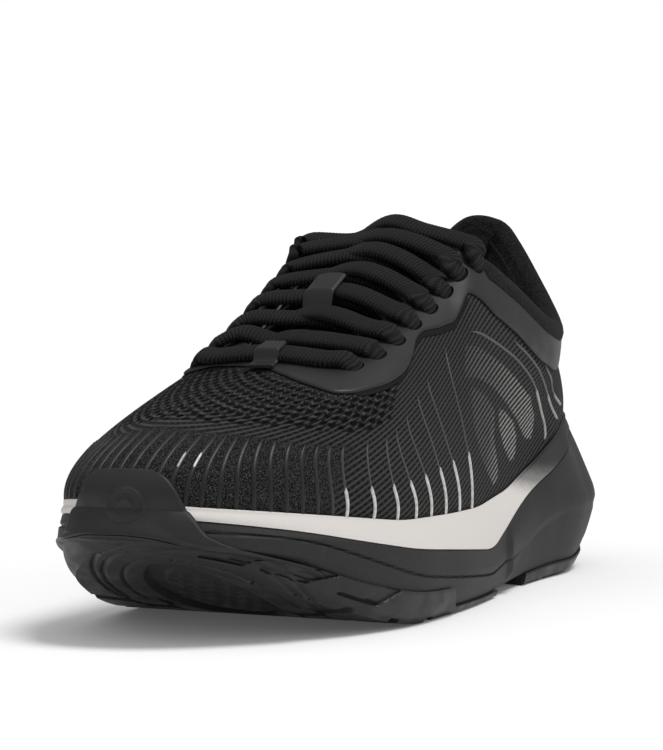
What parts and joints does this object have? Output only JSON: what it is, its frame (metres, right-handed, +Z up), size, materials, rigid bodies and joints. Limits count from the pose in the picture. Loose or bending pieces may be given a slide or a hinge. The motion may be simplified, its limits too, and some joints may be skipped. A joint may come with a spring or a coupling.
{
  "type": "running shoe",
  "caption": "Left running shoe with a thick rocker foam sole, a pale midsole layer, a wrapped rubber toe guard, a black knitted upper, a padded collar and laces.",
  "frame": {"origin": "on the ground, on the flat of the forefoot tread pad, near the middle of the shoe's length and width", "axes": "+Y towards the heel, -Y towards the toe, +X towards the lateral (outer) side, +Z up"},
  "size_m": [0.105, 0.2884, 0.1274],
  "materials": {
    "rubber": "moulded black rubber, satin",
    "dark_foam": "moulded black foam, matt skin",
    "pale_foam": "moulded off-white foam, matt skin",
    "board": "grey non-woven insole board",
    "footbed": "black mesh on foam",
    "knit": "black engineered knit",
    "lining": "black brushed knit",
    "stiffener": "pressed stiffener sheet",
    "collar_padding": "open-cell foam",
    "film": "smooth matt film",
    "lace": "braided black cord",
    "aglet": "black plastic tip",
    "tongue_fabric": "padded black knit"
  },
  "bodies": {
    "shoe": {"outsole_forefoot_rear": "rubber", "outsole_heel_lateral": "rubber", "outsole_heel_medial": "rubber", "midsole_base_rear": "dark_foam", "midsole_cushion_rear": "pale_foam", "strobel_board_rear": "board", "sockliner_rear": "footbed", "upper_knit_rear": "knit", "lining_rear": "lining", "heel_counter": "stiffener", "eyelet_backer_lateral": "stiffener", "eyelet_backer_medial": "stiffener", "collar_foam": "collar_padding", "eyestay_overlay": "film", "heel_tab": "film", "lace_keeper": "film", "lace": "lace", "aglet_medial": "aglet", "aglet_lateral": "aglet"},
    "forefoot": {"outsole_forefoot_front": "rubber", "midsole_base_front": "dark_foam", "midsole_cushion_front": "pale_foam", "strobel_board_front": "board", "sockliner_front": "footbed", "upper_knit_front": "knit", "lining_front": "lining", "toe_puff": "stiffener"},
    "tongue": {"tongue": "tongue_fabric", "tongue_patch": "film"}
  },
  "joints": [
    {"name": "toe_flex", "type": "hinge", "parent": "shoe", "child": "forefoot", "pos_m": [0, -0.072, 0.03], "axis": [-1, 0, 0], "range_deg": [0, 20]},
    {"name": "tongue_hinge", "type": "hinge", "parent": "shoe", "child": "tongue", "pos_m": [-0.002, -0.05, 0.068], "axis": [-1, 0, 0], "range_deg": [0, 10]}
  ]
}
